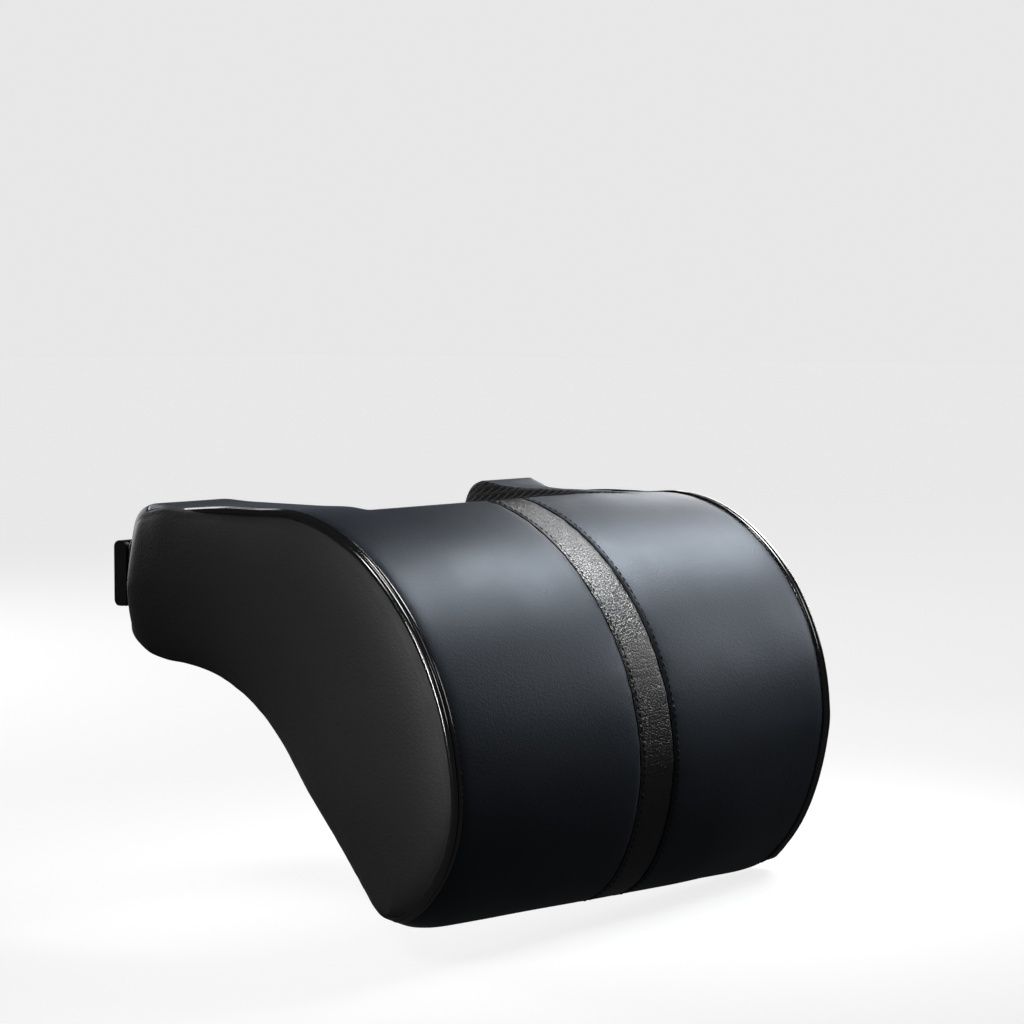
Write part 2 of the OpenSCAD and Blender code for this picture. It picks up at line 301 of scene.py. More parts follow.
MATERIALS = {
    "front_leather": smooth_leather(
        "front_leather", (0.017, 0.021, 0.028), (0.021, 0.026, 0.035), 0.43, 0.35,
        Specular_IOR_Level=0.62, Specular_Tint=rgba(0.67, 0.81, 1.0),
        Sheen_Weight=0.06, Sheen_Roughness=0.4, Sheen_Tint=rgba(0.62, 0.78, 1.0)),
    "side_leather": smooth_leather(
        "side_leather", (0.018, 0.018, 0.019), (0.022, 0.022, 0.024), 0.52, 0.4,
        Specular_IOR_Level=0.45),
    "band_leather": make_band_leather(),
    "patent_piping": one_noise(
        "patent_piping", (90, 2, 0.5), (0.004, 0.004, 0.005), (0.007, 0.007, 0.008),
        (0.1, 0.15), (0.0002, 0.04), Specular_IOR_Level=1.0,
        Coat_Weight=1.0, Coat_Roughness=0.08, Coat_IOR=1.8),
    "seam": one_noise(
        "seam", (1800, 2, 0.6), (0.003, 0.003, 0.003), (0.007, 0.007, 0.008),
        (0.6, 0.75), (0.0001, 0.5), Specular_IOR_Level=0.3),
    "mesh_fabric": make_mesh_fabric(),
    "webbing": make_webbing(),
    "buckle_plastic": make_plastic(),
    "thread": one_noise(
        "thread", (3000, 2, 0.6), (0.006, 0.006, 0.007), (0.022, 0.023, 0.026),
        (0.36, 0.5), (0.0001, 0.4), Specular_IOR_Level=0.8),
    "zip_metal": make_zip_metal(),
    "foam": make_foam("foam", 0.8, 900),
    "liner": make_foam("liner", 0.85, 1600),
}

# ---- pieces


def add_piece(name, vertices, faces, slot, body="cushion", stands_for=()):
    """A mesh piece with its material, its body and the nodes that it stands for."""
    mesh = bpy.data.meshes.new(name)
    mesh.from_pydata([tuple(v) for v in vertices], [], [tuple(f) for f in faces])
    mesh.validate()
    mesh.polygons.foreach_set("use_smooth", [True] * len(mesh.polygons))
    piece = new_object(name, mesh)
    dress(piece, slot, body, stands_for)
    return piece


def dress(piece, slot, body, stands_for=()):
    piece.data.materials.clear()
    piece.data.materials.append(MATERIALS[slot])
    if body is not None:
        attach(piece, body)
    for node in stands_for:
        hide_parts(node)


def places_of(mesh):
    return np.array([v.co for v in mesh.vertices])


def apply_modifiers(piece):
    """Leaves the piece with its modified mesh and no modifiers."""
    graph = bpy.context.evaluated_depsgraph_get()
    mesh = bpy.data.meshes.new_from_object(piece.evaluated_get(graph))
    old = piece.data
    piece.modifiers.clear()
    piece.data = mesh
    bpy.data.meshes.remove(old)


def join_parts(parts):
    """One list of vertices and one of faces from several (vertices, faces)."""
    vertices, faces = [], []
    for some_vertices, some_faces in parts:
        start = len(vertices)
        vertices.extend(some_vertices)
        faces.extend([[i + start for i in f] for f in some_faces])
    return vertices, faces


def unit(rows):
    """The vectors in the last axis, each made one long."""
    return rows / np.linalg.norm(rows, axis=-1, keepdims=True)


def loft_faces(rings, sides):
    """The faces of a capped tube that is made of rings with the same number of points."""
    faces = []
    for i in range(rings - 1):
        for k in range(sides):
            m = (k + 1) % sides
            faces.append([i * sides + k, i * sides + m, (i + 1) * sides + m, (i + 1) * sides + k])
    faces.append(list(range(sides))[::-1])
    faces.append([(rings - 1) * sides + k for k in range(sides)])
    return faces


# ---- side profile


def end_outline():
    """The corner points of the end panel's outline, in order, as (y, z)."""
    bm = bmesh.new()
    bm.from_mesh(nodes["left_end_panel"].data)
    bmesh.ops.remove_doubles(bm, verts=bm.verts, dist=1e-6)
    low_x = min(v.co.x for v in bm.verts)
    cap = {f for f in bm.faces if all(v.co.x < low_x + 1e-5 for v in f.verts)}
    rim = [e for e in bm.edges if sum(f in cap for f in e.link_faces) == 1]
    ways = {}
    for e in rim:
        for a, b in ((0, 1), (1, 0)):
            ways.setdefault(e.verts[a], []).append(e.verts[b])
    first = next(iter(ways))
    walk = [first, ways[first][0]]
    while True:
        onward = [v for v in ways[walk[-1]] if v is not walk[-2]][0]
        if onward is first:
            break
        walk.append(onward)
    points = np.array([(v.co.y, v.co.z) for v in walk])
    bm.free()
    turn = np.roll(points, -1, axis=0)
    area = np.sum(points[:, 0] * turn[:, 1] - turn[:, 0] * points[:, 1])
    return points if area > 0 else points[::-1]


# How many pieces the outline has between two of the CAD panel's corner points
CURVE_STEPS = 24


def rounded(points):
    """A closed smooth curve through the points, starting where y is greatest."""
    before, after = np.roll(points, 1, axis=0), np.roll(points, -1, axis=0)
    beyond = np.roll(points, -2, axis=0)
    rows = []
    for i, p in enumerate(points):
        span = np.linalg.norm(after[i] - p)
        m0 = slope(before[i], p, after[i]) * span
        m1 = slope(p, after[i], beyond[i]) * span
        for t in np.arange(CURVE_STEPS) / CURVE_STEPS:
            rows.append(
                (2 * t**3 - 3 * t**2 + 1) * p + (t**3 - 2 * t**2 + t) * m0
                + (3 * t**2 - 2 * t**3) * after[i] + (t**3 - t**2) * m1
            )
    rows = np.array(rows)
    return np.roll(rows, -int(np.argmax(rows[:, 0])), axis=0)


def slope(a, b, c):
    """The direction of a curve at b, from its neighbours, as a unit vector."""
    d1, d2 = np.linalg.norm(b - a), np.linalg.norm(c - b)
    way = (b - a) / d1 * d2 + (c - b) / d2 * d1
    return way / max(np.linalg.norm(way), 1e-12)


class Profile:
    """The side outline by its length: it starts at the rear and runs over the top to the toe."""

    def __init__(self):
        self.points = rounded(end_outline())
        closed = np.vstack([self.points, self.points[:1]])
        steps = np.linalg.norm(np.diff(closed, axis=0), axis=1)
        self.at_point = np.concatenate([[0], np.cumsum(steps)])
        self.length = self.at_point[-1]
        self.closed = closed
        way = unit(np.roll(self.points, -3, axis=0) - np.roll(self.points, 3, axis=0))
        out = np.stack([way[:, 1], -way[:, 0]], axis=1)
        self.closed_out = np.vstack([out, out[:1]])

    def follow(self, s, rows):
        """A value that is known at each outline point, at any length."""
        s = np.mod(s, self.length)
        return np.stack([np.interp(s, self.at_point, rows[:, i]) for i in (0, 1)], axis=-1)

    def place(self, s):
        return self.follow(s, self.closed)

    def out(self, s):
        return unit(self.follow(s, self.closed_out))

    def crossing(self, y, after):
        """The first length past the given one where the outline crosses this y."""
        start = int(np.searchsorted(self.at_point, after + 1e-6))
        ys = self.closed[:, 0] - y
        for i in range(start, len(ys) - 1):
            if ys[i] == 0 or ys[i] * ys[i + 1] < 0:
                share = abs(ys[i]) / (abs(ys[i]) + abs(ys[i + 1]))
                return self.at_point[i] + share * (self.at_point[i + 1] - self.at_point[i])
        raise ValueError(f"the outline doesn't cross y = {y}")


profile = Profile()
NOTCH_Y = 0.0
S_TOP = profile.crossing(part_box("front_panel_left")[1].y, 0)
S_NOTCH_TOP = profile.crossing(NOTCH_Y, S_TOP)
S_FRONT = profile.at_point[int(np.argmin(profile.closed[:, 0]))]
S_TOE = profile.crossing(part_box("under_panel")[0].y, S_FRONT)
S_NOTCH_UNDER = profile.crossing(NOTCH_Y, S_TOE)
S_TAIL = profile.crossing(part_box("under_panel")[1].y, S_NOTCH_UNDER)

# Rings of points round the outline: (length at the end, how many steps lead to it)
STRETCHES = [(S_TOP, 8), (S_NOTCH_TOP, 16), (S_TOE, 40), (S_NOTCH_UNDER, 32), (S_TAIL, 20),
             (profile.length, 12)]


def ring_lengths():
    rows, start = [], 0.0
    for end, count in STRETCHES:
        rows.extend(start + (end - start) * np.arange(count) / count)
        start = end
    return np.array(rows)


RING = ring_lengths()
K_TOP, K_NOTCH_TOP, K_TOE, K_NOTCH_UNDER, K_TAIL, K_ALL = np.cumsum([n for _, n in STRETCHES])

# ---- cushion skin

HALF_W = cad_high.x - 1.5 * MM
HALF_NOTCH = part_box("notch_lining")[1].x - 1.6 * MM
HALF_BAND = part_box("centre_band")[1].x

# How deep the band seams lie, and how far the skin turns in at its ends
GROOVE = 0.4 * MM
END_ROLL = 1.5 * MM
END_ROUND = 3.8 * MM
END_SWELL = 3.2 * MM

# How far the toe hangs, the slope of its hang to the right, and how far its ends are pulled up
TOE_SAG = 3.0 * MM
TOE_TILT = 0.043
TOE_LIFT = 6.0 * MM
TOE_LIFT_RIGHT = 0.25

# How far the right end is pushed forward above its middle, and how much lower it sits
RIGHT_ROLL = 4.2 * MM
RIGHT_DROP = 2.4 * MM


def eased(t):
    """0 up to t = 0, 1 from t = 1 on, and a smooth rise between them."""
    t = np.clip(t, 0, 1)
    return t * t * (3 - 2 * t)


def columns():
    """Places across the cushion, closer together beside each seam. The lists are in millimetres."""
    half = [0, 4.5, 8.5, 11, 12.5, 14, 16.5, 21]
    inner = list(np.linspace(21, HALF_NOTCH / MM - 5, 13)[1:])
    notch = [HALF_NOTCH / MM, HALF_NOTCH / MM + 5]
    outer = list(np.linspace(HALF_NOTCH / MM + 5, HALF_W / MM - 8, 6)[1:])
    end = [HALF_W / MM - 4.5, HALF_W / MM - 1.8, HALF_W / MM]
    right = np.array(half + inner + notch + outer + end) * MM
    return np.concatenate([-right[:0:-1], right])


X = columns()
I_LEFT = int(np.argmin(abs(X + HALF_NOTCH)))
I_RIGHT = int(np.argmin(abs(X - HALF_NOTCH)))
I_BAND_LEFT = int(np.argmin(abs(X + HALF_BAND)))
I_BAND_RIGHT = int(np.argmin(abs(X - HALF_BAND)))
WRAP = 3


# The flat stretch under the anchors begins at this Y and reaches this far up and down
ANCHOR_LAND_Y = 98 * MM
ANCHOR_LAND_Z = 26 * MM


def between(value, low, high, margin):
    """1 between two values and a little past them, falling to 0 at the margin."""
    fade = 6 * MM
    return eased((value - low + margin) / fade) * eased((high + margin - value) / fade)


def held_flat(co):
    """1 where the skin lies under the anchors or the zip and can't puff out, and 0 elsewhere."""
    x, y, z = co.T
    fade = 8 * MM
    rear = eased((y - ANCHOR_LAND_Y) / fade) * eased((ANCHOR_LAND_Z - abs(z)) / fade)
    low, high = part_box("zip_tape_lower")[0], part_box("zip_tape_upper")[1]
    zip_land = between(z, low.z, high.z, 8 * MM) * between(y, low.y, high.y, 12 * MM)
    return np.maximum(rear, zip_land * eased((high.x + 12 * MM - abs(x)) / (10 * MM)))


def toe_shift(x, y, z):
    """The soft toe hangs lower towards the right, and both its ends are pulled up."""
    weight = eased((-85 * MM - z) / (55 * MM)) * eased((-18 * MM - y) / (20 * MM))
    pulled = np.exp(-(((HALF_W - abs(x)) / (14 * MM)) ** 2)) * np.where(x < 0, 1, TOE_LIFT_RIGHT)
    return weight * (TOE_LIFT * pulled - TOE_SAG - TOE_TILT * x)


def on_front(s):
    """1 on the stretch of the outline where the centre band runs, and 0 elsewhere."""
    return ((s >= S_NOTCH_TOP - 1e-6) & (s <= S_TOE + 1e-6)).astype(float)


def has_piping(s):
    """1 where the end seam has its piping, falling to 0 just past both ends of it."""
    return eased((s - S_TOP) / (12 * MM)) * eased((S_TOE - s) / (12 * MM) + 0.5)


def end_dip(s, to_end):
    """How far the skin turns in near an end: to the piping, or round a plain edge."""
    to_piping = END_ROLL * np.exp(-((to_end / (4 * MM)) ** 2))
    inside = np.clip(END_ROUND - to_end, 0, END_ROUND)
    rounded_edge = END_ROUND - np.sqrt(END_ROUND**2 - inside**2)
    swell = END_SWELL * eased((26 * MM - to_end) / (20 * MM)) * eased((s - S_TOE) / (60 * MM) - 0.5)
    share = has_piping(s)
    return share * to_piping + (1 - share) * (rounded_edge - swell * off_land(s, HALF_W - to_end))


def off_land(s, x):
    """0 on the flat stretches that carry the zip and the anchors, and 1 elsewhere."""
    spots = np.concatenate([x[..., None], profile.place(s)], axis=-1)
    return 1 - held_flat(spots.reshape(-1, 3)).reshape(np.shape(x))


def right_roll(s, x, normal):
    """The right end sits a little rolled forward: lower on top, and fuller above its middle."""
    angle = np.degrees(np.arctan2(normal[..., 1], -normal[..., 0]))
    rolled = RIGHT_ROLL * np.cos(np.radians(2.4 * (angle - 35))) - RIGHT_DROP
    return rolled * eased((x - 50 * MM) / (90 * MM)) * has_piping(s)


def skin_point(s, x):
    """A point of the skin before it is simulated, at a length round the outline and a place across."""
    s, x = np.broadcast_arrays(np.asarray(s, float), np.asarray(x, float))
    place, normal = profile.place(s), profile.out(s)
    to_band = abs(abs(x) - HALF_BAND)
    dip = end_dip(s, HALF_W - abs(x))
    dip = dip + GROOVE * np.exp(-((to_band / (1.1 * MM)) ** 2)) * on_front(s)
    off = right_roll(s, x, normal) - dip
    y = place[..., 0] + normal[..., 0] * off
    z = place[..., 1] + normal[..., 1] * off
    return np.stack([x, y, z + toe_shift(x, y, z)], axis=-1)


PANEL_SLOTS = {
    "front_panel_left": "front_leather", "front_panel_right": "front_leather",
    "centre_band": "band_leather", "under_panel": "mesh_fabric",
    "left_arm_back_panel": "side_leather", "right_arm_back_panel": "side_leather",
    "notch_lining": "mesh_fabric", "left_end_panel": "side_leather",
    "right_end_panel": "side_leather",
}
PANELS = list(PANEL_SLOTS)


class Skin:
    """The closed skin of the cushion as one welded mesh of quads, each with its panel."""

    def __init__(self):
        self.vertices, self.faces, self.panels, self.lengths = [], [], [], []
        self.seams = set()
        self.grid = {}
        self.make_wrap()
        self.make_notch()
        self.make_ends()

    def add(self, point, length=0.0):
        self.vertices.append(np.asarray(point, float))
        self.lengths.append(length)
        return len(self.vertices) - 1

    def quad(self, corners, panel):
        corners = [c for i, c in enumerate(corners) if c not in corners[:i]]
        if len(corners) > 2:
            self.faces.append(corners)
            self.panels.append(PANELS.index(panel))

    def at(self, k, i):
        key = (k % K_ALL, i)
        if key not in self.grid:
            s = RING[key[0]]
            self.grid[key] = self.add(skin_point(s, X[i]), s)
        return self.grid[key]

    def open_here(self, k, i):
        """True for a cell over the notch, where there is no skin."""
        past_wall = k < K_NOTCH_TOP or k >= K_NOTCH_UNDER
        return past_wall and I_LEFT <= i < I_RIGHT

    def panel_of(self, k, i):
        if (k < K_TOP or k >= K_TOE) and i < WRAP:
            return "left_end_panel"
        if (k < K_TOP or k >= K_TOE) and i >= len(X) - 1 - WRAP:
            return "right_end_panel"
        if k >= K_TAIL or k < K_TOP:
            return "left_arm_back_panel" if X[i] < 0 else "right_arm_back_panel"
        if k >= K_TOE:
            return "under_panel"
        if I_BAND_LEFT <= i < I_BAND_RIGHT:
            return "centre_band"
        return "front_panel_left" if X[i] < 0 else "front_panel_right"

    def make_wrap(self):
        for k in range(K_ALL):
            for i in range(len(X) - 1):
                if not self.open_here(k, i):
                    ring = [self.at(k, i), self.at(k + 1, i), self.at(k + 1, i + 1), self.at(k, i + 1)]
                    self.quad(ring, self.panel_of(k, i))

    def ladder(self, loop, panel, rungs, bulge, axis):
        """Fills a closed loop with rungs between its two halves, crowned along an axis."""
        half = len(loop) // 2
        near, far = loop[:half + 1], [loop[0]] + loop[:half - 1:-1]
        rows = []
        for a, b in zip(near, far):
            if a == b:
                rows.append([a] * (rungs + 1))
                continue
            pa, pb = self.vertices[a], self.vertices[b]
            row = [a]
            for t in np.arange(1, rungs) / rungs:
                edge = min(t, 1 - t) * np.linalg.norm(pb - pa)
                rise = bulge * (1 - math.exp(-edge / (11 * MM)))
                point = pa + (pb - pa) * t + np.array(axis) * rise
                row.append(self.add(point))
            rows.append(row + [b])
        for one, two in zip(rows, rows[1:]):
            for j in range(rungs):
                self.quad([one[j], two[j], two[j + 1], one[j + 1]], panel)

    def make_notch(self):
        steps = 18
        top = [self.at(K_NOTCH_TOP, i) for i in range(I_LEFT, I_RIGHT + 1)]
        low = [self.at(K_NOTCH_UNDER, i) for i in range(I_LEFT, I_RIGHT + 1)]
        rows = [top]
        for t in np.arange(1, steps) / steps:
            rows.append([
                self.add(self.vertices[a] * (1 - t) + self.vertices[b] * t) for a, b in zip(top, low)
            ])
        rows.append(low)
        for one, two in zip(rows, rows[1:]):
            for j in range(len(top) - 1):
                self.quad([one[j], one[j + 1], two[j + 1], two[j]], "notch_lining")
        for column, side, edge in ((I_LEFT, 1, 0), (I_RIGHT, -1, -1)):
            upper = [self.at(k, column) for k in range(0, K_NOTCH_TOP + 1)]
            down = [row[edge] for row in rows[1:-1]]
            under = [self.at(k, column) for k in range(K_NOTCH_UNDER, K_ALL)]
            self.ladder(upper + down + under, "notch_lining", 10, 1.5 * MM, (side, 0, 0))
            self.seams.update(upper + under + down)
        self.seams.update(top + low)

    def make_ends(self):
        for column, side, panel in ((0, -1, "left_end_panel"), (len(X) - 1, 1, "right_end_panel")):
            loop = [self.at(k, column) for k in range(K_ALL)]
            self.ladder(loop, panel, 16, 4 * MM, (side, 0, 0))
            self.seams.update(loop)
        for i in (WRAP, len(X) - 1 - WRAP):
            self.seams.update(self.at(k, i) for k in range(K_ALL) if k <= K_TOP or k >= K_TOE)
        for i in range(len(X)):
            self.seams.add(self.at(K_TOE, i))
            if i <= I_LEFT or i >= I_RIGHT:
                self.seams.update([self.at(K_TOP, i), self.at(K_TAIL, i)])
        for i in (I_BAND_LEFT, I_BAND_RIGHT):
            self.seams.update(self.at(k, i) for k in range(K_NOTCH_TOP, K_TOE + 1))


def seam_edges(mesh, panels):
    """Edges between two faces of different panels."""
    owner = {}
    for face, panel in zip(mesh.polygons, panels):
        for key in face.edge_keys:
            owner.setdefault(key, set()).add(panel)
    return {key for key, found in owner.items() if len(found) > 1}


# The most that a point may move, on the end panels and elsewhere, and where that cap fades out
PUFF_CAP_END = 1.8 * MM
PUFF_CAP = 2.4 * MM
PUFF_FADE = 9 * MM

PUFF_FRAMES = 20
CLOTH = {
    "quality": 6, "mass": 0.25, "tension_stiffness": 22, "compression_stiffness": 22,
    "shear_stiffness": 8, "bending_stiffness": 1.2, "use_pressure": True,
    "uniform_pressure_force": 4.0, "shrink_min": -0.012, "vertex_group_mass": "seams",
}

# How many rounds of evening out the movement gets
ROUNDS_END = 24
ROUNDS = 14


def smoothed(move, mesh, on_end):
    """Evens out the movement between neighbours, in more rounds on the end panels."""
    edges = np.array([e.vertices for e in mesh.edges])
    count = np.bincount(edges.ravel(), minlength=len(move))[:, None]
    fixed = np.linalg.norm(move, axis=1) < 1e-6
    for turn in range(ROUNDS_END):
        total = np.zeros_like(move)
        np.add.at(total, edges[:, 0], move[edges[:, 1]])
        np.add.at(total, edges[:, 1], move[edges[:, 0]])
        changes = ~fixed & (on_end | (turn < ROUNDS))
        move = np.where(changes[:, None], total / count, move)
    return move


def puff(piece, skin):
    """Cloth simulation: pressure fills the skin while its seams hold it."""
    start = places_of(piece.data)
    group = piece.vertex_groups.new(name="seams")
    group.add(sorted(skin.seams), 1.0, "REPLACE")
    cloth = piece.modifiers.new("cloth", "CLOTH")
    for key, value in CLOTH.items():
        setattr(cloth.settings, key, value)
    cloth.settings.effector_weights.gravity = 0
    cloth.point_cache.frame_start = 1
    cloth.point_cache.frame_end = PUFF_FRAMES
    for step in range(1, PUFF_FRAMES + 1):
        scene.frame_set(step)
    apply_modifiers(piece)
    scene.frame_set(1)
    move = places_of(piece.data) - start
    on_end = abs(start[:, 0]) > HALF_W - 0.2 * MM
    cap = np.where(on_end, PUFF_CAP_END, PUFF_CAP)
    size = np.linalg.norm(move, axis=1)
    cap = cap * np.where(on_end, 1, eased((HALF_W - abs(start[:, 0])) / PUFF_FADE))
    share = cap * np.tanh(size / np.maximum(cap, 1e-6)) / np.maximum(size, 1e-9) * (1 - held_flat(start))
    move = smoothed(move * share[:, None], piece.data, on_end)
    piece.data.vertices.foreach_set("co", (start + move).ravel())
    piece.data.update()


def pucker(co, s):
    """Small folds beside the seams and faint waves across the panels, as a height in metres."""
    x = co[:, 0]
    to_band = abs(abs(x) - HALF_BAND)
    to_end = HALF_W - abs(x)
    beside = np.exp(-to_band / (5 * MM)) * on_front(s) + 0.8 * np.exp(-to_end / (6 * MM))
    wave = np.array([
        noise.noise(Vector((a * 0.07 / MM, b * 0.16 / MM, 3.7))) for a, b in zip(x, s)
    ])
    broad = np.array([noise.noise(Vector(p) * 22) for p in co])
    middle = np.array([noise.noise(Vector(p) * 55 + Vector((9, 4, 1))) for p in co])
    return beside * wave * 0.3 * MM + broad * 0.12 * MM + middle * 0.03 * MM


def turn_outwards(mesh):
    bm = bmesh.new()
    bm.from_mesh(mesh)
    bmesh.ops.recalc_face_normals(bm, faces=bm.faces)
    bm.to_mesh(mesh)
    bm.free()


def make_skin():
    """The skin's final mesh, as numpy arrays, with the panel of each face."""
    skin = Skin()
    mesh = bpy.data.meshes.new("skin")
    mesh.from_pydata([tuple(v) for v in skin.vertices], [], skin.faces)
    turn_outwards(mesh)
    mesh.polygons.foreach_set("material_index", skin.panels)
    lengths = mesh.attributes.new("s", "FLOAT", "POINT")
    lengths.data.foreach_set("value", np.array(skin.lengths, np.float32))
    for name in PANELS:
        mesh.materials.append(bpy.data.materials.new(name))
    piece = new_object("skin", mesh)
    puff(piece, skin)
    seams = seam_edges(piece.data, skin.panels)
    crease = piece.data.attributes.new("crease_edge", "FLOAT", "EDGE")
    crease.data.foreach_set("value", [1.0 if e.key in seams else 0.0 for e in piece.data.edges])
    divide = piece.modifiers.new("divide", "SUBSURF")
    divide.levels = divide.render_levels = 2
    apply_modifiers(piece)
    mesh = piece.data
    co = places_of(mesh)
    normals = np.array([v.normal for v in mesh.vertices])
    s = np.zeros(len(co), np.float32)
    mesh.attributes["s"].data.foreach_get("value", s)
    height = pucker(co, s) * (1 - held_flat(co))
    on_seam = np.zeros(len(co), bool)
    owner = np.full(len(co), -1)
    for face in mesh.polygons:
        for v in face.vertices:
            on_seam[v] |= owner[v] not in (-1, face.material_index)
            owner[v] = face.material_index
    height[on_seam] = 0
    co = co + normals * height[:, None]
    faces = [list(f.vertices) for f in mesh.polygons]
    panels = np.array([f.material_index for f in mesh.polygons])
    bpy.data.objects.remove(piece)
    return co, normals, faces, panels


skin_co, skin_normals, skin_faces, skin_panels = make_skin()
skin_tree = BVHTree.FromPolygons([tuple(v) for v in skin_co], skin_faces)

COVER_T = 1.4 * MM

# Each filling: its node, its material, and how deep below the skin its outside and inside lie
FILLINGS = [("foam_liner", "liner", 1.7 * MM, 2.3 * MM), ("foam_core", "foam", 2.5 * MM, None)]


def cut_out(panel):
    """One panel of the skin with its own thickness, as a closed mesh."""
    mine = [f for f, p in zip(skin_faces, skin_panels) if p == PANELS.index(panel)]
    used = sorted({v for f in mine for v in f})
    new = {v: i for i, v in enumerate(used)}
    count = len(used)
    top = [[new[v] for v in f] for f in mine]
    under = [[v + count for v in reversed(f)] for f in top]
    sides = {side: None for f in top for side in zip(f, f[1:] + f[:1])}
    walls = [[b, a, a + count, b + count] for a, b in sides if (b, a) not in sides]
    outer = skin_co[used]
    return np.vstack([outer, outer - skin_normals[used] * COVER_T]), top + under + walls


def make_panels():
    for panel, slot in PANEL_SLOTS.items():
        piece = add_piece(panel + "_skin", *cut_out(panel), slot, stands_for=[panel])


def make_inside():
    """The liner and the foam fill the cover, each a little inside the last."""
    for node, slot, outside, inside in FILLINGS:
        parts = [(list(skin_co - skin_normals * outside), skin_faces)]
        if inside is not None:
            parts.append((list(skin_co - skin_normals * inside), [f[::-1] for f in skin_faces]))
        vertices, faces = join_parts(parts)
        piece = add_piece(node + "_soft", vertices, faces, slot, stands_for=[node])


make_panels()
make_inside()

# ---- piping and seams


def tube(points, radius, sides, ups=None):
    """A tube along points. The radius is one number, or one for each point."""
    points = np.asarray(points, float)
    count = len(points)
    radii = np.broadcast_to(np.asarray(radius, float), (count,))
    way = unit(np.gradient(points, axis=0))
    up = np.tile([1.0, 0.0, 0.0], (count, 1)) if ups is None else np.asarray(ups, float)
    up = unit(up - np.sum(up * way, axis=1)[:, None] * way)
    side = np.cross(way, up)
    vertices = []
    for p, r, u, v in zip(points, radii, up, side):
        for a in np.arange(sides) * 2 * math.pi / sides:
            vertices.append(p + r * (math.cos(a) * u + math.sin(a) * v))
    return vertices, loft_faces(count, sides)


PIPE_R = 1.5 * MM
ROLL_R = 1.2 * MM

# How high the piping stands and how far out it lies, and how much less at its sunken ends
PIPE_RISE, PIPE_SINK = 0.9 * MM, 2.4 * MM
PIPE_OUT, PIPE_IN = 0.35 * MM, 3 * MM


def make_piping():
    """Each end seam holds a patent piping: a cord on the corner and the rolled edge beside it."""
    s = np.linspace(S_TOP + 4 * MM, S_TOE + 4 * MM, 640)
    taper = eased((s - s[0]) / (50 * MM)) * eased((s[-1] - s) / (14 * MM))
    for side, name in ((-1, "left_piping"), (1, "right_piping")):
        corner = skin_point(s, side * HALF_W)
        normal = np.zeros_like(corner)
        normal[:, 1:] = profile.out(s)
        rise = (PIPE_RISE - PIPE_SINK * (1 - taper))[:, None]
        cord = corner + normal * rise
        cord[:, 0] += side * (PIPE_OUT - PIPE_IN * (1 - taper))
        rolled = skin_point(s, side * (HALF_W - 2.5 * MM)) + normal * (rise - 0.05 * MM)
        radii = 0.5 + 0.5 * taper
        parts = [tube(cord, PIPE_R * radii, 20), tube(rolled, ROLL_R * radii, 16)]
        add_piece(name + "_cord", *join_parts(parts), "patent_piping", stands_for=[name])


def skin_line(x, off, start, count):
    """Points and normals of the real skin at a place across, from a length to the toe."""
    near = [skin_point(s, x) for s in np.linspace(start, S_TOE, count)]
    found = [skin_tree.find_nearest(Vector(p)) for p in near]
    normals = np.array([f[1] for f in found])
    return np.array([f[0] for f in found]) + normals * off, normals


def make_band_seams():
    """A dark lip of leather along each side of the band. The right one is a little thicker."""
    for node, x, radius, off in (
        ("band_seam_left", -HALF_BAND, 0.38 * MM, 0.1 * MM),
        ("band_seam_right", HALF_BAND, 0.42 * MM, 0.12 * MM),
    ):
        path, normal = skin_line(x, off, S_NOTCH_TOP, 400)
        sway = np.array([noise.noise(Vector((i * 0.35, x * 90, 0))) for i in range(len(path))])
        path[:, 0] += sway * 0.1 * MM
        parts = tube(path, radius, 12, normal)
        add_piece(node + "_line", *parts, "seam", stands_for=[node])


make_piping()
make_band_seams()


def stitch(a, b, normal, radius, sink):
    """One stitch of thread: a short tube that rises from one hole and goes down into the next."""
    points = 7
    rows, radii = [], []
    for t in np.linspace(0, 1, points):
        crown = math.sin(math.pi * t)
        lift = radius * 0.8 * crown ** 0.6 - sink * (1 - crown ** 0.5)
        rows.append(a + (b - a) * t + normal * lift)
        radii.append(radius * (0.75 + 0.25 * crown))
    return tube(rows, radii, 8, [normal] * points)


def stitch_row(places, normals, pitch, gap, radius, sink=0.35 * MM):
    """Stitches along a line of points."""
    steps = np.linalg.norm(np.diff(places, axis=0), axis=1)
    along = np.concatenate([[0], np.cumsum(steps)])
    parts = []
    count = int(along[-1] / pitch)
    for i in range(count):
        ends = [i * pitch + gap / 2, (i + 1) * pitch - gap / 2]
        a, b = (np.array([np.interp(e, along, places[:, j]) for j in range(3)]) for e in ends)
        n = np.array([np.interp(ends[0], along, normals[:, j]) for j in range(3)])
        parts.append(stitch(a, b, unit(n), radius, sink))
    return join_parts(parts)


def make_stitch_rows():
    """A row on each side of the band, and a close row at the foot of each piping."""
    for node in ("topstitch_left", "topstitch_right"):
        low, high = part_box(node)
        line = skin_line((low.x + high.x) / 2, 0.05 * MM, S_NOTCH_TOP, 400)
        parts = stitch_row(*line, 3.4 * MM, 1.0 * MM, 0.17 * MM, 0.25 * MM)
        add_piece(node + "_thread", *parts, "thread", stands_for=[node])
    for side, name in ((-1, "edge_stitches_left"), (1, "edge_stitches_right")):
        line = skin_line(side * (HALF_W - 4.6 * MM), 0.02 * MM, S_TOP + 26 * MM, 420)
        add_piece(name, *stitch_row(*line, 2.9 * MM, 1.0 * MM, 0.2 * MM), "thread")


make_stitch_rows()

# ---- webbing and patches


WEB_T = 1.2 * MM
WEB_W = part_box("strap_main")[1].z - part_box("strap_main")[0].z


